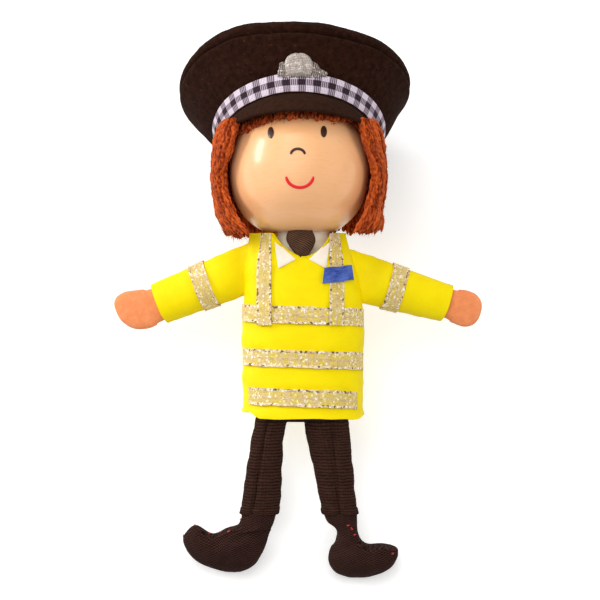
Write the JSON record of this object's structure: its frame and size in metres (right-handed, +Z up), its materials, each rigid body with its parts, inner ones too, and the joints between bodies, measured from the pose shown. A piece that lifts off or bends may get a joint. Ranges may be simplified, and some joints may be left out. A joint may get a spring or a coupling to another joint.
{
  "type": "finger puppet",
  "caption": "Finger puppet with a painted ball head, yarn hair, peaked cap, banded yellow jacket open at the hem for a finger, felt hands and stuffed legs, lying on its back.",
  "frame": {"origin": "centre of the bounding box's base, on the surface that the puppet lies on", "axes": "+Y towards the top of the cap, +X to the right of someone looking at the face, +Z up; the puppet lies on its back"},
  "size_m": [0.092, 0.13, 0.058],
  "materials": {
    "painted_wood": "glossy varnished flesh paint",
    "dark_paint": "dark paint",
    "red_paint": "red paint",
    "yarn": "rust wool yarn",
    "black_felt": "black-brown felt",
    "wadding": "polyester wadding",
    "gingham": "black and white gingham ribbon",
    "peak_cloth": "smooth black-brown cloth",
    "silver_ribbon": "silver metallic ribbon",
    "yellow_satin": "bright yellow satin",
    "metal_ribbon": "woven metallic mesh ribbon",
    "white_cotton": "white cotton",
    "tie_ribbon": "ribbed black-brown ribbon",
    "blue_satin": "royal blue satin ribbon",
    "tan_felt": "tan felt",
    "corded_fabric": "black-brown corded fabric",
    "twill": "black-brown twill"
  },
  "bodies": {
    "root": {"head_ball": "painted_wood", "eye_left": "dark_paint", "eye_right": "dark_paint", "nose_line": "dark_paint", "mouth_line": "red_paint", "hair_fringe": "yarn", "hair_left": "yarn", "hair_right": "yarn", "hair_back": "yarn", "hat_top_panel": "black_felt", "hat_under_panel": "black_felt", "hat_band": "black_felt", "hat_stuffing": "wadding", "hat_ribbon": "gingham", "hat_peak": "peak_cloth", "hat_badge": "silver_ribbon", "jacket": "yellow_satin", "sleeve_left": "yellow_satin", "sleeve_right": "yellow_satin", "chest_band": "metal_ribbon", "waist_band": "metal_ribbon", "hem_band": "metal_ribbon", "brace_left": "metal_ribbon", "brace_right": "metal_ribbon", "sleeve_band_left": "metal_ribbon", "sleeve_band_right": "metal_ribbon", "collar_left": "white_cotton", "collar_right": "white_cotton", "shirt_front": "white_cotton", "tie": "tie_ribbon", "blue_tab": "blue_satin", "hand_left": "tan_felt", "hand_right": "tan_felt", "neck_tube": "tan_felt", "trousers": "corded_fabric", "shoe_left": "twill", "shoe_right": "twill"}
  },
  "joints": []
}
